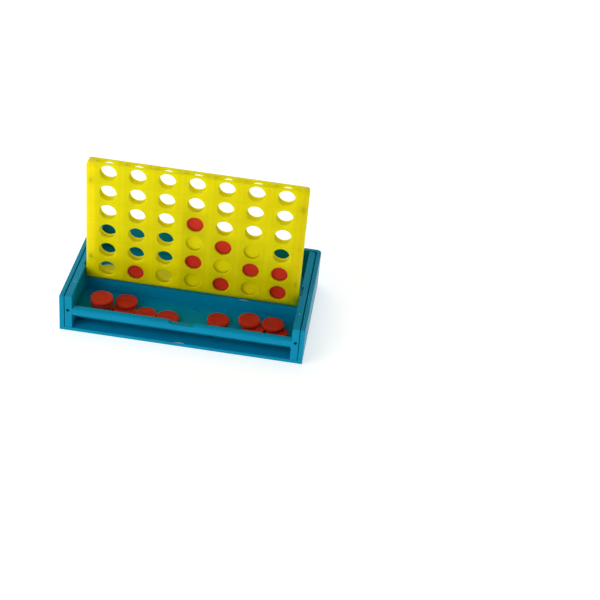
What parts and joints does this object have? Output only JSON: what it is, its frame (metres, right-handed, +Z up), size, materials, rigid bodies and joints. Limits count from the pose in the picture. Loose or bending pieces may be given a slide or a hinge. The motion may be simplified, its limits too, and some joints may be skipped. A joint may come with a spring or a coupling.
{
  "type": "four in a row frame",
  "caption": "Pocket four in a row game: a folding upright grid of round holes on a low sliding tray that stores red and yellow discs, all in an open-fronted case.",
  "frame": {"origin": "middle of the case's underside, on the surface that the game stands on", "axes": "+X to the player's right along the row of columns, +Y from the open front to the back wall, +Z up the standing grid"},
  "size_m": [0.08, 0.0472, 0.054],
  "materials": {
    "turquoise_shell": "moulded gloss",
    "turquoise_tray": "moulded gloss",
    "yellow_grid": "moulded, slightly see-through",
    "yellow_pin": "moulded gloss",
    "red_disc": "satin",
    "yellow_disc": "satin"
  },
  "bodies": {
    "case": {"case_shell": "turquoise_shell"},
    "tray": {"tray": "turquoise_tray"},
    "pins": {"hinge_pin_left": "yellow_pin", "hinge_pin_right": "yellow_pin"},
    "grid": {"grid_front_panel": "yellow_grid", "grid_rear_panel": "yellow_grid"},
    "column_2_disc": {"red_disc_06": "red_disc"},
    "column_4_discs": {"red_disc_01": "red_disc", "yellow_disc_01": "yellow_disc", "red_disc_03": "red_disc", "yellow_disc_04": "yellow_disc"},
    "column_5_discs": {"red_disc_02": "red_disc", "yellow_disc_03": "yellow_disc", "red_disc_07": "red_disc"},
    "column_6_discs": {"yellow_disc_02": "yellow_disc", "red_disc_04": "red_disc", "yellow_disc_05": "yellow_disc"},
    "column_7_discs": {"red_disc_05": "red_disc", "red_disc_08": "red_disc"},
    "red_tray_discs": {"red_disc_09": "red_disc", "red_disc_10": "red_disc", "red_disc_11": "red_disc", "red_disc_12": "red_disc", "red_disc_13": "red_disc", "red_disc_14": "red_disc", "red_disc_15": "red_disc", "red_disc_16": "red_disc", "red_disc_17": "red_disc", "red_disc_18": "red_disc", "red_disc_19": "red_disc", "red_disc_20": "red_disc", "red_disc_21": "red_disc"},
    "yellow_tray_discs": {"yellow_disc_06": "yellow_disc", "yellow_disc_07": "yellow_disc", "yellow_disc_08": "yellow_disc", "yellow_disc_09": "yellow_disc", "yellow_disc_10": "yellow_disc", "yellow_disc_11": "yellow_disc", "yellow_disc_12": "yellow_disc", "yellow_disc_13": "yellow_disc", "yellow_disc_14": "yellow_disc", "yellow_disc_15": "yellow_disc", "yellow_disc_16": "yellow_disc", "yellow_disc_17": "yellow_disc", "yellow_disc_18": "yellow_disc", "yellow_disc_19": "yellow_disc", "yellow_disc_20": "yellow_disc", "yellow_disc_21": "yellow_disc"}
  },
  "joints": [
    {"name": "tray_slide", "type": "slide", "parent": "case", "child": "tray", "axis": [0, -1, 0], "range_m": [0, 0.03]},
    {"name": "grid_slide", "type": "slide", "parent": "tray", "child": "pins", "axis": [0, 1, 0], "range_m": [0, 0.0236]},
    {"name": "grid_fold", "type": "hinge", "parent": "pins", "child": "grid", "pos_m": [0, -0.00395, 0.0116], "axis": [1, 0, 0], "range_deg": [0, 90]},
    {"name": "column_2_slide", "type": "slide", "parent": "grid", "child": "column_2_disc", "axis": [0, 0, 1], "range_m": [0, 0.0365]},
    {"name": "column_4_slide", "type": "slide", "parent": "grid", "child": "column_4_discs", "axis": [0, 0, 1], "range_m": [0, 0.0146]},
    {"name": "column_5_slide", "type": "slide", "parent": "grid", "child": "column_5_discs", "axis": [0, 0, 1], "range_m": [0, 0.0219]},
    {"name": "column_6_slide", "type": "slide", "parent": "grid", "child": "column_6_discs", "axis": [0, 0, 1], "range_m": [0, 0.0219]},
    {"name": "column_7_slide", "type": "slide", "parent": "grid", "child": "column_7_discs", "axis": [0, 0, 1], "range_m": [0, 0.0292]},
    {"name": "red_discs_lift", "type": "slide", "parent": "tray", "child": "red_tray_discs", "axis": [0, 0, 1], "range_m": [0, 0.02]},
    {"name": "yellow_discs_lift", "type": "slide", "parent": "tray", "child": "yellow_tray_discs", "axis": [0, 0, 1], "range_m": [0, 0.02]}
  ]
}
